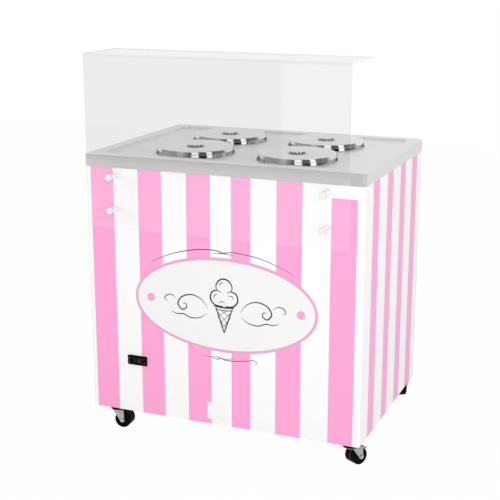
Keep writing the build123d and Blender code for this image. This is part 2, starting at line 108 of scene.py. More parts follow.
def separate(tree, vector):
    """The X, Y and Z parts of a vector."""
    node = tree.nodes.new("ShaderNodeSeparateXYZ")
    tree.links.new(vector, node.inputs[0])
    return node.outputs


def noise(tree, vector, scale, detail=3.0):
    node = tree.nodes.new("ShaderNodeTexNoise")
    node.inputs["Detail"].default_value = detail
    tree.links.new(vector, node.inputs["Vector"])
    feed(tree, node.inputs["Scale"], scale)
    return node.outputs["Fac"]


def coordinates(tree, kind):
    return tree.nodes.new("ShaderNodeTexCoord").outputs[kind]


def ramp(tree, value, stops):
    """A grey colour ramp through (position, level) stops."""
    node = tree.nodes.new("ShaderNodeValToRGB")
    bar = node.color_ramp
    while len(bar.elements) < len(stops):
        bar.elements.new(0.5)
    for element, (position, level) in zip(bar.elements, stops):
        element.position = position
        element.color = grey(level)
    tree.links.new(value, node.inputs["Fac"])
    return node.outputs["Color"]


def vary(tree, colour, value, amount):
    """A colour made lighter and darker by an amount as a 0..1 value changes."""
    low = calc(tree, "SUBTRACT", 1.0, amount)
    high = calc(tree, "ADD", 1.0, amount)
    return combine(tree, "SCALE", colour, span(tree, value, low, high))


def blend(tree, share, first, second):
    """A colour that goes from the first to the second as the share goes from 0 to 1."""
    node = tree.nodes.new("ShaderNodeMix")
    node.data_type = "RGBA"
    tree.links.new(share, node.inputs["Factor"])
    tree.links.new(first, node.inputs["A"])
    tree.links.new(second, node.inputs["B"])
    return node.outputs["Result"]


# Camera, light and stage

CAMERA_PLACE = (1.4647, FRONT_Y - 3.3238, 1.6596)
CAMERA_TURN = 22.176
CAMERA_DIP = 14.673
CAMERA_LENS = 81.06
SENSOR_WIDTH = 36.0


def place_camera():
    """The photograph's viewpoint; turn and dip are in degrees, lens and sensor in millimetres."""
    data = bpy.data.cameras.new("camera")
    data.sensor_width = SENSOR_WIDTH
    data.lens = CAMERA_LENS
    camera = bpy.data.objects.new("camera", data)
    camera.location = CAMERA_PLACE
    camera.rotation_euler = (math.radians(90 - CAMERA_DIP), 0, math.radians(CAMERA_TURN))
    bpy.context.scene.collection.objects.link(camera)
    bpy.context.scene.camera = camera


# Lamps: name, place, the spot that each points at, width of its square and power in watts.
LAMPS = (
    ("key lamp", (1.7, -4.2, 2.0), (0.0, 0.0, 0.4), 2.6, 79.0),
    ("fill lamp", (-3.2, -3.0, 2.6), (0.0, 0.0, 0.6), 2.4, 40.0),
    ("side lamp", (4.0, -0.6, 2.2), (0.5, 0.0, 0.6), 2.4, 45.0),
)


def soft_box(name, place, aim, size, power):
    """A large area lamp that points at a spot and stays out of mirrors."""
    data = bpy.data.lights.new(name, "AREA")
    data.shape = "RECTANGLE"
    data.size = data.size_y = size
    data.energy = power
    lamp = bpy.data.objects.new(name, data)
    lamp.location = place
    lamp.visible_glossy = False
    lamp.rotation_euler = (Vector(aim) - Vector(place)).to_track_quat("-Z", "Y").to_euler()
    bpy.context.scene.collection.objects.link(lamp)


# Studio flags round the cabinet as polished steel sees them: angle from +X in degrees, grey level.
FLAGS = (
    (-180, 0.4), (-150, 0.42), (-128, 0.42), (-118, 0.65), (-105, 0.65), (-99, 0.35), (-92, 0.3),
    (-86, 0.1), (-79, 0.08), (-77, 1.5), (-58, 1.5), (-55.5, 0.02), (-33, 0.02), (-30.5, 1.5),
    (-17, 1.5), (-13, 0.1), (26, 0.2), (42, 1.0), (168, 1.0), (178, 0.4),
)
# Heights between which the flags stand, as (share of the way from straight down to straight up, cover).
FLAG_HEIGHTS = ((0.37, 0), (0.39, 1), (0.76, 1), (0.84, 0))
# The surround's level as a light, and the floor's reach and glow.
AMBIENT = 0.62
FLOOR_REACH = 6.2
FLOOR_GLOW = 0.97


def light_world():
    """A white surround for the camera and glass, flags low down for mirrors, a plain level for light."""
    world = bpy.data.worlds.new("surround")
    bpy.context.scene.world = world
    world.use_nodes = True
    world.cycles.sampling_method = "NONE"
    tree = world.node_tree
    tree.nodes.clear()
    path = tree.nodes.new("ShaderNodeLightPath").outputs
    parts = separate(tree, coordinates(tree, "Generated"))
    turn = calc(tree, "ARCTAN2", parts["Y"], parts["X"])
    turn = calc(tree, "MULTIPLY_ADD", turn, 0.5 / math.pi, 0.5)
    flags = ramp(tree, turn, [((angle + 180) / 360, level) for angle, level in FLAGS])
    rise = calc(tree, "MULTIPLY_ADD", parts["Z"], 0.5, 0.5)
    low = ramp(tree, rise, FLAG_HEIGHTS)
    mirror = calc(tree, "SUBTRACT", 1.0, calc(tree, "MULTIPLY", low, calc(tree, "SUBTRACT", 1.0, flags)))
    seen = calc(tree, "MAXIMUM", path["Is Camera Ray"], path["Is Transmission Ray"])
    plain = span(tree, seen, AMBIENT, 1.0)
    level = span(tree, path["Is Glossy Ray"], plain, mirror)
    sky = tree.nodes.new("ShaderNodeBackground")
    sky.inputs["Color"].default_value = grey(1.0)
    tree.links.new(level, sky.inputs["Strength"])
    out = tree.nodes.new("ShaderNodeOutputWorld")
    tree.links.new(sky.outputs[0], out.inputs["Surface"])


def lay_floor():
    """A pale studio floor that keeps a faint shadow."""
    mesh = bpy.data.meshes.new("floor")
    corners = [(x * FLOOR_REACH, y * FLOOR_REACH, 0) for x, y in ((-1, -1), (1, -1), (1, 1), (-1, 1))]
    mesh.from_pydata(corners, [], [(0, 1, 2, 3)])
    floor = bpy.data.objects.new("floor", mesh)
    bpy.context.scene.collection.objects.link(floor)
    material = bpy.data.materials.new("studio floor")
    material.use_nodes = True
    tree = material.node_tree
    tree.nodes.clear()
    path = tree.nodes.new("ShaderNodeLightPath").outputs
    seen = calc(tree, "MAXIMUM", path["Is Camera Ray"], path["Is Glossy Ray"])
    seen = calc(tree, "MAXIMUM", seen, path["Is Transmission Ray"])
    matt = tree.nodes.new("ShaderNodeBsdfDiffuse")
    matt.inputs["Color"].default_value = grey(0.8)
    glow = tree.nodes.new("ShaderNodeEmission")
    mix = tree.nodes.new("ShaderNodeMixShader")
    tree.links.new(calc(tree, "MULTIPLY", seen, FLOOR_GLOW), mix.inputs["Fac"])
    tree.links.new(matt.outputs[0], mix.inputs[1])
    tree.links.new(glow.outputs[0], mix.inputs[2])
    out = tree.nodes.new("ShaderNodeOutputMaterial")
    tree.links.new(mix.outputs[0], out.inputs["Surface"])
    mesh.materials.append(material)


# Node groups that several finishes share

FLOAT, COLOUR, VECTOR = "NodeSocketFloat", "NodeSocketColor", "NodeSocketVector"
FINISH_OUT = (("Color", COLOUR), ("Roughness", FLOAT), ("Height", FLOAT))
# Half the width, in metres or reaches, over which one tone turns into the next.
SHARP = 0.001


def open_group(name, inputs):
    """A shader node group with named sockets; returns it with its entry sockets and its exit node."""
    group = bpy.data.node_groups.new(name, "ShaderNodeTree")
    for label, kind, value in inputs:
        socket = group.interface.new_socket(label, in_out="INPUT", socket_type=kind)
        socket.default_value = value
    for label, kind in FINISH_OUT:
        group.interface.new_socket(label, in_out="OUTPUT", socket_type=kind)
    entry = group.nodes.new("NodeGroupInput").outputs
    leave = group.nodes.new("NodeGroupOutput")
    return group, entry, leave


def put_out(group, leave, **sockets):
    for label, socket in sockets.items():
        group.links.new(socket, leave.inputs[label])


def skin_group():
    """Sprayed or moulded skin: slow mottle in the colour, fine peel in the height."""
    group, entry, leave = open_group("skin mottle", (
        ("Color", COLOUR, grey(0.8)),
        ("Patch Scale", FLOAT, 6.0),
        ("Patch Amount", FLOAT, 0.02),
        ("Peel Scale", FLOAT, 900.0),
        ("Rough Low", FLOAT, 0.25),
        ("Rough High", FLOAT, 0.35),
    ))
    place = coordinates(group, "Object")
    patch = noise(group, place, entry["Patch Scale"])
    peel = noise(group, place, entry["Peel Scale"], 2.0)
    put_out(
        group, leave,
        Color=vary(group, entry["Color"], patch, entry["Patch Amount"]),
        Roughness=span(group, peel, entry["Rough Low"], entry["Rough High"]),
        Height=peel,
    )
    return group


def brush_group():
    """Straight brushed lines, stretched along one direction, over slow cloudy patches; faces to the front
    and to the right have a level each, and those further in than a start share another. The levels are
    painted shade on front faces and painted light on right-hand and inner faces."""
    group, entry, leave = open_group("brushed lines", (
        ("Color", COLOUR, grey(0.6)),
        ("Stretch", VECTOR, (4.0, 260.0, 260.0)),
        ("Line Amount", FLOAT, 0.05),
        ("Cloud Amount", FLOAT, 0.02),
        ("Rough Low", FLOAT, 0.25),
        ("Rough High", FLOAT, 0.4),
        ("Front Level", FLOAT, 1.0),
        ("Right Level", FLOAT, 1.0),
        ("Inner Level", FLOAT, 1.0),
        ("Inner Start", VECTOR, (0.0, 0.0, 0.0)),
    ))
    place = coordinates(group, "Object")
    facing = separate(group, coordinates(group, "Normal"))
    inward = separate(group, combine(group, "SUBTRACT", place, entry["Inner Start"]))
    front = span(group, inward["Y"], entry["Front Level"], entry["Inner Level"], -SHARP, SHARP)
    front = span(group, facing["Y"], front, 1.0, -0.9, -0.3)
    right = span(group, inward["X"], entry["Inner Level"], entry["Right Level"], -SHARP, SHARP)
    right = span(group, facing["X"], 1.0, right, 0.3, 0.9)
    lines = noise(group, combine(group, "MULTIPLY", place, entry["Stretch"]), 1.0, 5.0)
    cloud = noise(group, place, 5.0)
    sides = combine(group, "SCALE", entry["Color"], calc(group, "MULTIPLY", front, right))
    tinted = vary(group, sides, lines, entry["Line Amount"])
    put_out(
        group, leave,
        Color=vary(group, tinted, cloud, entry["Cloud Amount"]),
        Roughness=span(group, lines, entry["Rough Low"], entry["Rough High"]),
        Height=lines,
    )
    return group


def spun_group():
    """Rings left by spinning about the upright axis; faces that stand up are polished instead."""
    group, entry, leave = open_group("spun rings", (
        ("Color", COLOUR, grey(0.6)),
        ("Side Color", COLOUR, grey(0.6)),
        ("Ring Count", FLOAT, 160.0),
        ("Line Amount", FLOAT, 0.05),
        ("Rough Low", FLOAT, 0.2),
        ("Rough High", FLOAT, 0.35),
        ("Side Rough", FLOAT, 0.05),
    ))
    centred = combine(group, "SUBTRACT", coordinates(group, "Generated"), (0.5, 0.5, 0.0))
    radius = combine(group, "LENGTH", combine(group, "MULTIPLY", centred, (1.0, 1.0, 0.0)))
    rings = group.nodes.new("ShaderNodeTexNoise")
    rings.noise_dimensions = "1D"
    rings.inputs["Scale"].default_value = 1.0
    rings.inputs["Detail"].default_value = 4.0
    group.links.new(calc(group, "MULTIPLY", radius, entry["Ring Count"]), rings.inputs["W"])
    mark = rings.outputs["Fac"]
    level = calc(group, "ABSOLUTE", separate(group, coordinates(group, "Normal"))["Z"])
    flat = span(group, level, 0.0, 1.0, 0.7, 0.95)
    grooved = span(group, mark, entry["Rough Low"], entry["Rough High"])
    ringed = vary(group, entry["Color"], mark, entry["Line Amount"])
    put_out(
        group, leave,
        Color=blend(group, flat, entry["Side Color"], ringed),
        Roughness=span(group, flat, entry["Side Rough"], grooved),
        Height=calc(group, "MULTIPLY", mark, flat),
    )
    return group


def paints_group():
    """Two paints that meet at one distance from a middle, seen from the front and counted in reaches."""
    group, entry, leave = open_group("two paints", (
        ("Inner Color", COLOUR, grey(0.8)),
        ("Outer Color", COLOUR, grey(0.5)),
        ("Middle", VECTOR, (0.0, 0.0, 0.0)),
        ("Reach", VECTOR, (1.0, 1.0, 1.0)),
        ("Change", FLOAT, 1.0),
        ("Rough Low", FLOAT, 0.3),
        ("Rough High", FLOAT, 0.4),
    ))
    place = coordinates(group, "Object")
    away = combine(group, "DIVIDE", combine(group, "SUBTRACT", place, entry["Middle"]), entry["Reach"])
    radius = combine(group, "LENGTH", combine(group, "MULTIPLY", away, (1.0, 0.0, 1.0)))
    outer = span(group, calc(group, "SUBTRACT", radius, entry["Change"]), 0.0, 1.0, -SHARP, SHARP)
    peel = noise(group, place, 500.0, 2.0)
    put_out(
        group, leave,
        Color=blend(group, outer, entry["Inner Color"], entry["Outer Color"]),
        Roughness=span(group, peel, entry["Rough Low"], entry["Rough High"]),
        Height=peel,
    )
    return group


def film_group():
    """A clear film whose colour and cover change at one height, and again across its upper part; both
    changes are painted reflections, a light haze low down and a grey cast above that is lighter to the
    right.
    """
    group, entry, leave = open_group("clear film", (
        ("Low Color", COLOUR, grey(0.9)),
        ("High Color", COLOUR, grey(0.2)),
        ("Low Cover", FLOAT, 0.05),
        ("High Cover", FLOAT, 0.1),
        ("Shelf Cover", FLOAT, 0.1),
        ("Change Height", FLOAT, 1.0),
        ("Change Across", FLOAT, 0.0),
        ("Right Share", FLOAT, 0.8),
    ))
    group.interface.new_socket("Cover", in_out="OUTPUT", socket_type=FLOAT)
    place = coordinates(group, "Object")
    parts = separate(group, place)
    smear = noise(group, place, 3.0)
    rise = calc(group, "SUBTRACT", parts["Z"], entry["Change Height"])
    high = span(group, rise, 0.0, 1.0, -0.02, 0.02)
    lying = calc(group, "ABSOLUTE", separate(group, coordinates(group, "Normal"))["Z"])
    # Painted reflection: less grey cover to the right of a set place across the upper part.
    right = calc(group, "SUBTRACT", parts["X"], entry["Change Across"])
    share = span(group, right, 1.0, entry["Right Share"], -0.008, 0.008)
    upper = calc(group, "MULTIPLY", entry["High Cover"], share)
    cover = span(group, high, entry["Low Cover"], span(group, lying, upper, entry["Shelf Cover"]))
    put_out(
        group, leave,
        Color=blend(group, high, entry["Low Color"], entry["High Color"]),
        Roughness=span(group, smear, 0.02, 0.08),
        Height=smear,
        Cover=calc(group, "MULTIPLY", cover, span(group, smear, 0.94, 1.06)),
    )
    return group


SKIN = skin_group()
BRUSH = brush_group()
SPUN = spun_group()
PAINTS = paints_group()
FILM = film_group()


def finish(name, group, values, bump=0.0, reach=0.0002, **sockets):
    """A material: one shared group feeds the shader, and plain values go on its own sockets."""
    material = bpy.data.materials.new(name)
    material.use_nodes = True
    tree = material.node_tree
    shader = tree.nodes["Principled BSDF"]
    node = tree.nodes.new("ShaderNodeGroup")
    node.node_tree = group
    for label, value in values.items():
        node.inputs[label].default_value = value
    tree.links.new(node.outputs["Color"], shader.inputs["Base Color"])
    tree.links.new(node.outputs["Roughness"], shader.inputs["Roughness"])
    if bump:
        ripple = tree.nodes.new("ShaderNodeBump")
        ripple.inputs["Strength"].default_value = bump
        ripple.inputs["Distance"].default_value = reach
        tree.links.new(node.outputs["Height"], ripple.inputs["Height"])
        tree.links.new(ripple.outputs["Normal"], shader.inputs["Normal"])
    for label, value in sockets.items():
        shader.inputs[label.replace("_", " ")].default_value = value
    return material


def skin(name, colour, patch, peel, rough, bump=0.05, reach=0.0002, **sockets):
    """A sprayed or moulded finish; patch and peel are (scale, amount) and a scale."""
    values = {"Color": colour, "Patch Scale": patch[0], "Patch Amount": patch[1],
              "Peel Scale": peel, "Rough Low": rough[0], "Rough High": rough[1]}
    return finish(name, SKIN, values, bump, reach, **sockets)


def brushed(name, colour, stretch, amount, rough, metal=1.0, **levels):
    """A brushed metal; stretch is high across the lines, and levels are the group's other inputs."""
    values = {"Color": colour, "Stretch": stretch, "Line Amount": amount, "Rough Low": rough[0],
              "Rough High": rough[1]}
    values.update((label.replace("_", " "), value) for label, value in levels.items())
    return finish(name, BRUSH, values, 0.05, 0.0001, Metallic=metal)


def spun(name, colour, side, rings, amount, rough, metal=1.0, edge=1.0):
    """A metal spun or turned about an upright axis; side is the (level, roughness) of upright faces,
    and edge the level at a glancing angle."""
    values = {"Color": colour, "Side Color": grey(side[0]), "Ring Count": rings, "Line Amount": amount,
              "Rough Low": rough[0], "Rough High": rough[1], "Side Rough": side[1]}
    return finish(name, SPUN, values, 0.03, 0.0001, Metallic=metal, Specular_Tint=grey(edge))


def two_paints(name, inner, outer, centre, reach, change, rough, **sockets):
    """A finish with one paint near a centre and another from a change, in reaches, outwards."""
    values = {"Inner Color": inner, "Outer Color": outer, "Middle": centre, "Reach": reach,
              "Change": change, "Rough Low": rough[0], "Rough High": rough[1]}
    return finish(name, PAINTS, values, 0.05, **sockets)


def sign_paint(name, inner, outer, change, rough):
    """One paint on the sign's face and another on its border."""
    low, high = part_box("sign_plate")
    return two_paints(name, inner, outer, middle("sign_plate"), (high - low) / 2, change, rough,
                      Specular_IOR_Level=0.4)


# Height above which the forks are black, as painted shade under the caster plates.
FORK_HEAD = 0.0675
HEIGHT_ONLY = (1000, 1000, 1)


def fork_paint():
    """Zinc legs under a head painted black as painted shade under the caster plate; the long reach to the
    sides leaves only the height to count.
    """
    return two_paints("fork steel", (0.44, 0.45, 0.46, 1), grey(0.012), (0, 0, 0), HEIGHT_ONLY, FORK_HEAD,
                      (0.28, 0.45), Metallic=1.0)


def clear_sheet():
    """Clear acrylic with painted reflections: a thin haze of reflected light low down, and a grey cast
    of painted reflection above the worktop that is lighter to the right.
    """
    values = {"Low Color": grey(0.95), "High Color": grey(0.03), "Low Cover": 0.045, "High Cover": 0.085,
              "Shelf Cover": 0.125, "Change Height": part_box("worktop")[1].z, "Change Across": 0.238,
              "Right Share": 0.68}
    material = finish("clear sheet", FILM, values, Specular_IOR_Level=0.15)
    tree = material.node_tree
    group = next(node for node in tree.nodes if node.type == "GROUP")
    tree.links.new(group.outputs["Cover"], tree.nodes["Principled BSDF"].inputs["Alpha"])
    return material


STRIPE_PINK = (0.89, 0.345, 0.60, 1)
BORDER_PINK = (0.73, 0.37, 0.54, 1)
DOT_PINK = (0.82, 0.345, 0.56, 1)
# Where the worktop's raised rim ends inwards, at the right and at the front; faces further in get painted
# light.
RIM_INSIDE = (0.48, FRONT_Y + 0.02, 0.0)

FINISHES = {made.name: made for made in (
    skin("white enamel", grey(0.86), (3.0, 0.008), 420.0, (0.28, 0.36), Specular_IOR_Level=0.4),
    skin("pink vinyl", STRIPE_PINK, (4.0, 0.012), 700.0, (0.34, 0.44), Specular_IOR_Level=0.35),
    sign_paint("sign enamel", grey(0.80), BORDER_PINK, 0.994, (0.3, 0.38)),
    sign_paint("sign border", DOT_PINK, BORDER_PINK, 0.92, (0.34, 0.44)),
    skin("white plastic", grey(0.84), (40.0, 0.01), 1500.0, (0.25, 0.35)),
    skin("cap plastic", grey(0.74), (40.0, 0.02), 1500.0, (0.2, 0.3)),
    skin("sign ink", grey(0.012), (60.0, 0.2), 900.0, (0.35, 0.5), bump=0.1),
    skin("scroll ink", (0.10, 0.085, 0.095, 1), (60.0, 0.2), 900.0, (0.35, 0.5), bump=0.1),
    # Front faces get painted shade, and right-hand and inner faces get painted light.
    brushed("brushed worktop", grey(0.78), (3.0, 220.0, 220.0), 0.04, (0.46, 0.56), metal=0.85,
            Front_Level=0.88, Right_Level=1.06, Inner_Level=1.2, Inner_Start=RIM_INSIDE),
    spun("spun lid", grey(0.76), (0.75, 0.06), 120.0, 0.03, (0.36, 0.46), metal=0.9),
    spun("turned knob", grey(0.76), (0.75, 0.06), 60.0, 0.03, (0.36, 0.46), metal=0.9),
    spun("polished collar", grey(0.7), (0.74, 0.05), 60.0, 0.03, (0.25, 0.35), edge=0.1),
    spun("satin steel", grey(0.6), (0.6, 0.3), 140.0, 0.06, (0.25, 0.4)),
    skin("sawn acrylic", grey(0.9), (80.0, 0.05), 800.0, (0.4, 0.6), bump=0.1, Alpha=0.35),
    skin("seal grey", grey(0.3), (60.0, 0.1), 1200.0, (0.4, 0.55)),
    skin("zinc plate", (0.52, 0.53, 0.54, 1), (60.0, 0.12), 900.0, (0.28, 0.45), bump=0.1, Metallic=1.0),
    fork_paint(),
    brushed("cut steel", grey(0.62), (150.0, 150.0, 150.0), 0.08, (0.2, 0.35)),
    brushed("mill aluminium", (0.66, 0.67, 0.68, 1), (200.0, 200.0, 6.0), 0.07, (0.3, 0.45)),
    brushed("drawn copper", (0.62, 0.28, 0.16, 1), (90.0, 90.0, 30.0), 0.12, (0.25, 0.4)),
    skin("cut foam", (0.78, 0.66, 0.38, 1), (20.0, 0.1), 500.0, (0.85, 0.95), bump=0.6, reach=0.001),
    skin("black enamel", grey(0.02), (12.0, 0.15), 300.0, (0.3, 0.45), bump=0.1),
    skin("motor grey", (0.12, 0.13, 0.14, 1), (15.0, 0.1), 400.0, (0.4, 0.55), bump=0.1),
    skin("moulded black", grey(0.005), (50.0, 0.2), 1800.0, (0.35, 0.5), bump=0.15,
         Specular_IOR_Level=0.12),
    skin("controller black", grey(0.002), (50.0, 0.2), 1800.0, (0.4, 0.5), Specular_IOR_Level=0.03),
    skin("tyre rubber", grey(0.003), (40.0, 0.3), 1200.0, (0.45, 0.65), bump=0.2,
         Specular_IOR_Level=0.04),
    # A lighter grey for a ring on the tyres, as a painted highlight.
    skin("painted tread highlight", grey(0.06), (40.0, 0.2), 1200.0, (0.45, 0.6)),
    skin("smoked window", (0.006, 0.007, 0.009, 1), (60.0, 0.1), 900.0, (0.05, 0.1), bump=0.0,
         Specular_IOR_Level=0.05),
    skin("display red", (0.1, 0.012, 0.01, 1), (300.0, 0.1), 900.0, (0.3, 0.4),
         Emission_Color=(0.9, 0.06, 0.03, 1), Emission_Strength=0.06),
    skin("key mark", (0.20, 0.23, 0.27, 1), (300.0, 0.05), 900.0, (0.4, 0.5)),
    clear_sheet(),
)}

NODE_FINISH = {
    "white enamel": ("front_panel", "left_panel", "right_panel", "rear_panel"),
    "pink vinyl": ("front_stripes", "side_stripes"),
    "sign border": ("sign_trim",),
    "sign enamel": ("sign_plate",),
    "white plastic": ("drain_cover", "screen_standoffs"),
    "cap plastic": ("screen_caps",),
    "brushed worktop": ("worktop",),
    "spun lid": tuple(f"lid_{c}" for c in CORNERS),
    "turned knob": tuple(f"knob_{c}" for c in CORNERS),
    "polished collar": ("well_collars",),
    "satin steel": tuple(f"tub_{c}" for c in CORNERS),
    "zinc plate": ("base_frame", "fan_shroud", "caster_bolts") + tuple(f"axle_{c}" for c in CORNERS),
    "fork steel": tuple(f"fork_{c}" for c in CORNERS),
    "mill aluminium": ("cold_tank", "evaporator_plate", "condenser"),
    "drawn copper": ("refrigerant_pipes",),
    "cut foam": ("tank_foam",),
    # The compressor is black enamel; the caster plates are black as painted shade under the cabinet.
    "black enamel": ("compressor", "caster_plates"),
    "motor grey": ("fan_motor",),
    "moulded black": ("mains_inlet", "fan_blades", "brake_pedal_fl", "brake_pedal_fr"),
    "controller black": ("controller_bezel", "key_set", "key_up", "key_down", "key_power"),
    "tyre rubber": ("compressor_feet",) + tuple(f"wheel_{c}" for c in CORNERS),
    "smoked window": ("controller_window",),
    "clear sheet": ("screen",),
}


def dress_nodes():
    """Give every CAD node its finish."""
    for name, nodes in NODE_FINISH.items():
        for node in nodes:
            slots = NODES[node].data.materials
            slots.clear()
            slots.append(FINISHES[name])


# Making the detail pieces

def piece(name, bm, finish_name, body="cabinet", smooth=True):
    """Turn a worked mesh into a piece that rides on a body."""
    mesh = bpy.data.meshes.new(name)
    bmesh.ops.recalc_face_normals(bm, faces=bm.faces[:])
    for face in bm.faces:
        face.smooth = smooth
    bm.to_mesh(mesh)
    bm.free()
    made = bpy.data.objects.new(name, mesh)
    bpy.context.scene.collection.objects.link(made)
    mesh.materials.append(FINISHES[finish_name])
    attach(made, body)
    return made


def bridge(bm, rows):
    """Faces between rows of vertices."""
    for row, following in zip(rows, rows[1:]):
        for k in range(len(row) - 1):
            bm.faces.new((row[k], row[k + 1], following[k + 1], following[k]))


LINE_STEPS = 9


def through(points):
    """A smooth line through (u, v) points."""
    knots = [Vector(p) for p in points]
    knots = [knots[0] * 2 - knots[1]] + knots + [knots[-1] * 2 - knots[-2]]
    line = [knots[1]]
    for before, start, end, after in zip(knots, knots[1:], knots[2:], knots[3:]):
        leave, arrive = start + (end - before) / 6, end - (after - start) / 6
        line += interpolate_bezier(start, leave, arrive, end, LINE_STEPS)[1:]
    return line


# Section of a painted line: place across it in half widths, share of its height.
STROKE_PROFILE = ((-1, 0.0), (-0.5, 0.8), (0.5, 0.8), (1, 0.0))


def stroke(bm, spot, points, width, tips, lift=0.35):
    """A crowned brush line through (u, v) points in millimetres; tips are the shares of its width at
    the two ends, and spot turns u, v and a height into a place."""
    line = through(points)
    count = len(line) - 1
    rows = []
    for i, here in enumerate(line):
        ahead = line[min(i + 1, count)] - line[max(i - 1, 0)]
        across = Vector((-ahead.y, ahead.x)).normalized()
        along = i / count
        tip = tips[0] if along < 0.5 else tips[1]
        half = width / 2 * (tip + (1 - tip) * math.sin(math.pi * along) ** 0.7)
        row = []
        for side, height in STROKE_PROFILE:
            u, v = here + across * half * side
            row.append(bm.verts.new(spot(u, v, lift * height)))
        rows.append(row)
    bridge(bm, rows)


def on_front(x, z, face):
    """A spot on an upright face of the front, counted from (x, z) in metres."""
    return lambda u, v, height: (x + u / 1000, face - height / 1000, z + v / 1000)


def mirrored(points):
    return [(-u, v) for u, v in points]


def turned(bm, place, profile, axis, sides):
    """A ring of faces turned about an axis through a place; profile is (radius, height) in metres."""
    spin = Vector((0, 0, 1)).rotation_difference(Vector(axis)).to_matrix()
    rows = []
    for radius, height in profile:
        row = []
        for i in range(sides):
            angle = 2 * math.pi * i / sides
            local = Vector((radius * math.cos(angle), radius * math.sin(angle), height))
            row.append(bm.verts.new(Vector(place) + spin @ local))
        rows.append(row)
    for low, high in zip(rows, rows[1:]):
        for i in range(sides):
            j = (i + 1) % sides
            bm.faces.new((low[i], low[j], high[j], high[i]))
    return rows


# Painted scrolls on the front and the sign's own motif

# Places of the painted lines in metres, and shares of a line's width at its two ends.
SCROLL_X = 0.0115
FLOURISH_X = 0.018
FLOURISH_RISE = 0.245
FADING = (0.1, 0.25)
FULL = (0.7, 0.7)


def upper_scroll():
    """Two long tapering lines that cross over the sign."""
    bm = bmesh.new()
    spot = on_front(SCROLL_X, PANEL_FOOT, BAND_Y)
    left = ((-272, 558.5), (-237, 578), (-188, 599), (-139, 613), (-94, 622.5), (-58, 625.5), (-32, 626),
            (-14, 623), (1, 618.5), (22, 615.5), (40, 614))
    right = ((272, 556), (237, 576), (188, 596.5), (139, 611.5), (94, 619.5), (58, 623), (32, 624.5),
             (14, 621.5), (-1, 618), (-22, 615.5), (-40, 614))
    crossing = ((-10, 620.5), (0, 618.6), (10, 616.8))
    stroke(bm, spot, left, 3.6, FADING)
    stroke(bm, spot, right, 2.9, FADING)
    for line in (mirrored(crossing), crossing):
        stroke(bm, spot, line, 3.4, (0.3, 0.3))
    piece("upper_scroll", bm, "scroll ink")


def lower_flourish():
    """Two lines twisted into a small knot under the sign; one end curls and the others fade."""
    bm = bmesh.new()
    spot = on_front(FLOURISH_X, PANEL_FOOT + FLOURISH_RISE, BAND_Y)
    long = ((-94, 8), (-69, 3), (-50, 0.5), (-41, -1.5), (-26, -3.5), (-15, 1.5), (-4, -0.5), (7, -2.5),
            (18, -3), (30, -3), (55, 0.5), (85, 5), (94, 8.5), (103, 9.5), (114, 5.5), (116, 0), (111, -5))
    short = ((-53, 3), (-40, 5.5), (-28, 5), (-16, 2), (-6, -1.5), (2, -3.5), (12, 3), (22, 4), (43, 6))
    stroke(bm, spot, long, 3.0, (0.1, 0.4))
    stroke(bm, spot, short, 2.6, (0.2, 0.1))
    piece("lower_flourish", bm, "scroll ink")


def sign_motif():
    """A plain cone with three scoops between two scrolls, as line work."""
    bm = bmesh.new()
    centre = middle("sign_plate")
    spot = on_front(centre.x, centre.z, SIGN_FACE)
    for line in (((-30, -8), (-15, -52), (0, -96)), ((30, -8), (15, -52), (0, -96))):
        stroke(bm, spot, line, 5.0, FULL)
    stroke(bm, spot, ((-37, -4), (0, -7), (37, -4)), 5.5, FULL)
    stroke(bm, spot, ((-33, -14), (0, -17), (33, -14)), 3.2, FULL)
    for low, high in (((-20, -37), (14, -15)), ((-12, -60), (25, -22)), ((-6, -78), (24, -40)),
                      ((20, -37), (-14, -15)), ((12, -60), (-25, -22)), ((6, -78), (-24, -40))):
        mid = ((low[0] + high[0]) / 2, (low[1] + high[1]) / 2)
        stroke(bm, spot, (low, mid, high), 1.8, FULL)
    scoop = ((-3, -2), (-20, -2), (-38, 3), (-50, 22), (-45, 43), (-28, 52), (-10, 46))
    stroke(bm, spot, scoop, 5.5, (0.4, 0.3))
    stroke(bm, spot, mirrored(scoop), 5.5, (0.4, 0.3))
    top_scoop = ((-27, 50), (-29, 70), (-17, 88), (0, 94), (17, 88), (29, 70), (27, 50))
    stroke(bm, spot, top_scoop, 5.5, (0.4, 0.4))
    for line in (((-38, 20), (-35, 33), (-24, 38)), ((14, 36), (28, 36), (36, 24)),
                 ((-17, 66), (-12, 78), (0, 82)), ((-20, 8), (-8, 14), (4, 10))):
        stroke(bm, spot, line, 3.0, (0.1, 0.1))
    scroll = ((58, -20), (82, 12), (118, 26), (155, 16), (172, -10), (158, -30), (140, -22), (143, -8),
              (154, -8))
    vine = ((62, -34), (90, -52), (124, -56), (152, -46), (176, -48), (198, -40))
    leaf = ((176, 6), (196, 18), (214, 14), (222, 2), (212, -6))
    for line, width in ((scroll, 5.0), (vine, 4.0), (leaf, 3.6)):
        stroke(bm, spot, line, width, FADING)
        stroke(bm, spot, mirrored(line), width, FADING)
    piece("sign_motif", bm, "sign ink")


# Controller marks

# Ends of a digit's seven strokes, in millimetres from its lower left corner.
SEGMENTS = {
    "a": ((0.6, 12), (6.4, 12)), "b": ((7, 11.4), (7, 6.6)), "c": ((7, 5.4), (7, 0.6)),
    "d": ((0.6, 0), (6.4, 0)), "e": ((0, 5.4), (0, 0.6)), "f": ((0, 11.4), (0, 6.6)),
    "g": ((0.6, 6), (6.4, 6)),
}
DIGIT_LEAN = 0.08
DIGIT_HALF_HEIGHT = 6
RING_R = 2.1


def controller_digits():
    """A lit reading of minus eighteen on the dark window."""
    bm = bmesh.new()
    low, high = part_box("controller_window")
    spot = on_front((low.x + high.x) / 2, (low.z + high.z) / 2, low.y)
    for start, lit in ((-14, "g"), (-4, "bc"), (6, "abcdefg")):
        for name in lit:
            line = [(start + u + v * DIGIT_LEAN, v - DIGIT_HALF_HEIGHT) for u, v in SEGMENTS[name]]
            stroke(bm, spot, line, 1.5, (0.5, 0.5), 0.15)
    piece("controller_digits", bm, "display red")


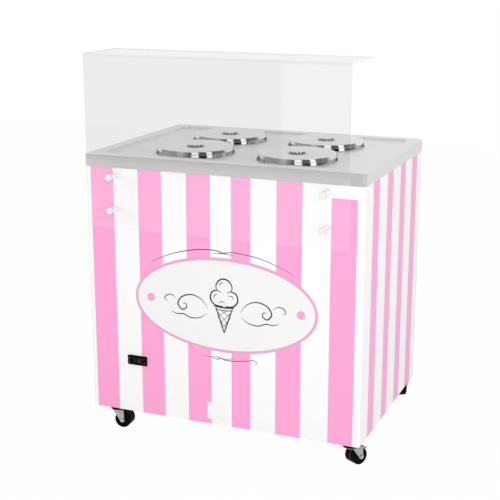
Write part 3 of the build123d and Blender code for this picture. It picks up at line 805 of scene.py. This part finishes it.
def key_marks():
    """A raised mark on each of the four keys."""
    turns = [0.75 + 0.6 * k for k in range(9)]
    ring = [(-RING_R * math.sin(turn), RING_R * math.cos(turn) + 0.3) for turn in turns]
    marks = {
        "set": (((-2, 0), (2, 0)), ((-2, 1.8), (2, 1.8)), ((-2, -1.8), (2, -1.8))),
        "up": (((-2.2, -1.2), (0, 1.4)), ((2.2, -1.2), (0, 1.4))),
        "down": (((-2.2, 1.2), (0, -1.4)), ((2.2, 1.2), (0, -1.4))),
        "power": (ring, ((0, 0.4), (0, 2.6))),
    }
    for key, lines in marks.items():
        bm = bmesh.new()
        centre = middle(f"key_{key}")
        spot = on_front(centre.x, centre.z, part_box(f"key_{key}")[0].y)
        for line in lines:
            stroke(bm, spot, line, 0.9, FULL, 0.12)
        piece(f"key_mark_{key}", bm, "key mark", f"key_body_{key}")


# Sawn edges of the clear screen, in metres

SHEET_THICK = 0.005
BEND_OUTER_R = 0.012
BEND_STEPS = 12
EDGE_INSET = 0.0003
EDGE_PROUD = 0.0002
EDGE_CROWN = 0.0004


def screen_edges():
    """The frosted cut faces all round the bent sheet, each slightly crowned."""
    bm = bmesh.new()
    low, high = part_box("screen")
    insets = (EDGE_INSET, SHEET_THICK - EDGE_INSET)
    centre = Vector((low.y + BEND_OUTER_R, high.z - BEND_OUTER_R))
    outer, inner = [], []
    for k in range(BEND_STEPS + 1):
        angle = math.radians(90 * k / BEND_STEPS)
        reach = Vector((-math.cos(angle), math.sin(angle)))
        outer.append(centre + reach * (BEND_OUTER_R - insets[0]))
        inner.append(centre + reach * (BEND_OUTER_R - insets[1]))
    foot = [Vector((low.y + inset, low.z)) for inset in insets]
    back = [Vector((high.y, high.z - inset)) for inset in insets]
    outer = [foot[0]] + outer + [back[0]]
    inner = [foot[1]] + inner + [back[1]]
    for x, side in ((low.x, -1), (high.x, 1)):
        rows = []
        for a, b in zip(outer, inner):
            across = ((a, EDGE_PROUD), ((a + b) / 2, EDGE_CROWN), (b, EDGE_PROUD))
            rows.append([bm.verts.new((x + side * out, spot.x, spot.y)) for spot, out in across])
        bridge(bm, rows)
    for (a, b), away in ((foot, Vector((0, -1))), (back, Vector((1, 0)))):
        across = (a + away * EDGE_PROUD, (a + b) / 2 + away * EDGE_CROWN, b + away * EDGE_PROUD)
        bridge(bm, [[bm.verts.new((x, spot.x, spot.y)) for spot in across] for x in (low.x, high.x)])
    piece("screen_edges", bm, "sawn acrylic")


# Worktop seals

COLLAR_R = 0.1354
# Section of a bead, as (way out from the collar, height over its foot).
BEAD_SECTION = ((-0.0006, 0.0016), (0.0009, 0.0011), (0.0019, 0.0))


def collar_seals():
    """A bead of sealant round the foot of each well's collar."""
    bm = bmesh.new()
    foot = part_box("well_collars")[0].z
    for corner in CORNERS:
        place = middle(f"tub_{corner}").xy.to_3d()
        profile = [(COLLAR_R + out, foot + rise) for out, rise in BEAD_SECTION]
        turned(bm, place, profile, (0, 0, 1), 96)
    piece("collar_seals", bm, "seal grey")


# Back of the cabinet, in metres

HOOD_COLUMNS = (-0.250, -0.080, 0.180)
HOOD_ROWS = 17
HOOD_FOOT = 0.118
HOOD_PITCH = 0.018
HOOD_HALF = 0.079
HOOD_DEEP = 0.0065
HOOD_PROUD = 0.0002
HOOD_STEPS = 14
HOOD_SHEET = 0.0008
# Section of a hood from its top down, as (height over its slot, share of its depth).
HOOD_SECTION = ((0.0062, 0.0), (0.0052, 0.35), (0.0032, 0.72), (0.0008, 0.94), (-0.002, 1.0),
                (-0.0046, 0.98))


def louvre_hood(bm, x, z):
    """One pressed hood over a slot: a bulge that closes at its top and ends and opens downwards."""
    rows = []
    for k in range(HOOD_STEPS + 1):
        across = -1 + 2 * k / HOOD_STEPS
        full = math.sqrt(max(0.0, 1 - abs(across) ** 8))
        row = []
        for rise, out in HOOD_SECTION:
            y = REAR_Y + out * full * HOOD_DEEP + HOOD_PROUD
            row.append(bm.verts.new((x + across * HOOD_HALF, y, z + rise)))
        rows.append(row)
    bridge(bm, rows)


def rear_louvres():
    """Columns of hoods over the slots in the rear panel."""
    bm = bmesh.new()
    for x in HOOD_COLUMNS:
        for row in range(HOOD_ROWS):
            louvre_hood(bm, x, HOOD_FOOT + HOOD_PITCH * row)
    hoods = piece("rear_louvres", bm, "white enamel")
    sheet = hoods.modifiers.new("sheet", "SOLIDIFY")
    sheet.thickness = HOOD_SHEET
    sheet.offset = 0.0


PANEL_SCREW_R = 0.0042
INLET_SCREW_R = 0.0026
INLET_PROUD = 0.003
SCREW_SIDES = 24
# Section of a screw head, as (share of its radius, height); the last two rings are its socket.
SCREW_SECTION = ((1, 0.0), (1, 0.0006), (0.86, 0.0015), (0.6, 0.0019), (0.42, 0.0019), (0.42, 0.0008))
# Where the screws sit, as (x, z).
PANEL_SCREWS = (
    [(x, 0.105 + 0.166 * k) for x in (-0.486, 0.486) for k in range(6)]
    + [(x, z) for x in (-0.25, 0.0, 0.25) for z in (0.092, 0.947)]
)
INLET_SCREWS = ((0.360, 0.2), (0.400, 0.2))


def hex_screw(bm, place, radius):
    """A domed screw head with a six-sided socket, on a face that looks backwards."""
    profile = [(radius * share, height) for share, height in SCREW_SECTION]
    rows = turned(bm, place, profile, (0, 1, 0), SCREW_SIDES)
    for row in rows[-2:]:
        centre = sum((vert.co for vert in row), Vector()) / len(row)
        for i, vert in enumerate(row):
            turn = 2 * math.pi * i / SCREW_SIDES
            flat = math.cos(math.pi / 6) / math.cos(turn % (math.pi / 3) - math.pi / 6)
            vert.co = centre + (vert.co - centre) * flat
    bm.faces.new(rows[-1])


def rear_screws():
    """The screws of the rear panel and of the mains inlet."""
    bm = bmesh.new()
    for x, z in PANEL_SCREWS:
        hex_screw(bm, (x, REAR_Y, z), PANEL_SCREW_R)
    for x, z in INLET_SCREWS:
        hex_screw(bm, (x, REAR_Y + INLET_PROUD, z), INLET_SCREW_R)
    piece("rear_screws", bm, "cut steel", smooth=False)


# Casters

# Sections as (radius, height) in metres.
RACE_SECTION = ((0.0200, 0.0768), (0.0236, 0.0766), (0.0245, 0.0752), (0.0245, 0.0714), (0.0225, 0.0705))
TREAD_SECTION = ((0.0288, -0.0014), (0.0292, -0.0008), (0.0292, 0.0008), (0.0288, 0.0014))
# A pedal's ribs, in millimetres and degrees round the wheel's hub.
RIB_COUNT = 4
RIB_START = 44
RIB_STEP = 5
RIB_FOOT_R = 35.1
# A rib's length as (place across, height), and its width as (turn, share of the height).
RIB_LENGTH = ((-18, 0.0), (-17, 0.7), (17, 0.7), (18, 0.0))
RIB_WIDTH = ((-1.6, 0.0), (-0.9, 1.0), (0.9, 1.0), (1.6, 0.0))


def caster_races():
    """The pressed dust ring over each caster's ball race."""
    bm = bmesh.new()
    for corner in CORNERS:
        x, y, _ = JOINTS[f"caster_{corner}_swivel"]["pos_m"]
        turned(bm, (x, y, 0), RACE_SECTION, (0, 0, 1), 40)
    piece("caster_races", bm, "black enamel")


def tread_highlight(corner):
    """A lighter grey ring in the groove round a tyre, a painted highlight along the tread's middle."""
    bm = bmesh.new()
    joint = JOINTS[f"wheel_{corner}_spin"]
    turned(bm, joint["pos_m"], TREAD_SECTION, joint["axis"], 64)
    piece(f"tread_highlight_{corner}", bm, "painted tread highlight", f"wheel_body_{corner}")


def pedal_ribs(corner):
    """Grip ribs across the curved back of a brake pedal."""
    bm = bmesh.new()
    hub = Vector(JOINTS[f"wheel_{corner}_spin"]["pos_m"])
    trail = (hub - Vector(JOINTS[f"caster_{corner}_swivel"]["pos_m"])).xy.to_3d().normalized()
    across = Vector((-trail.y, trail.x, 0))
    for k in range(RIB_COUNT):
        rows = []
        for side, rise in RIB_LENGTH:
            row = []
            for turn, share in RIB_WIDTH:
                angle = math.radians(RIB_START + RIB_STEP * k + turn)
                out = trail * math.cos(angle) + Vector((0, 0, math.sin(angle)))
                place = out * (RIB_FOOT_R + rise * share) + across * side
                row.append(bm.verts.new(hub + place / 1000))
            rows.append(row)
        bridge(bm, rows)
    piece(f"pedal_ribs_{corner}", bm, "moulded black", f"pedal_body_{corner}")


bpy.context.scene.view_settings.view_transform = "Standard"
place_camera()
light_world()
for lamp in LAMPS:
    soft_box(*lamp)
lay_floor()
dress_nodes()
upper_scroll()
lower_flourish()
sign_motif()
controller_digits()
key_marks()
screen_edges()
collar_seals()
rear_louvres()
rear_screws()
caster_races()
for corner in CORNERS:
    tread_highlight(corner)
for corner in ("fl", "fr"):
    pedal_ribs(corner)
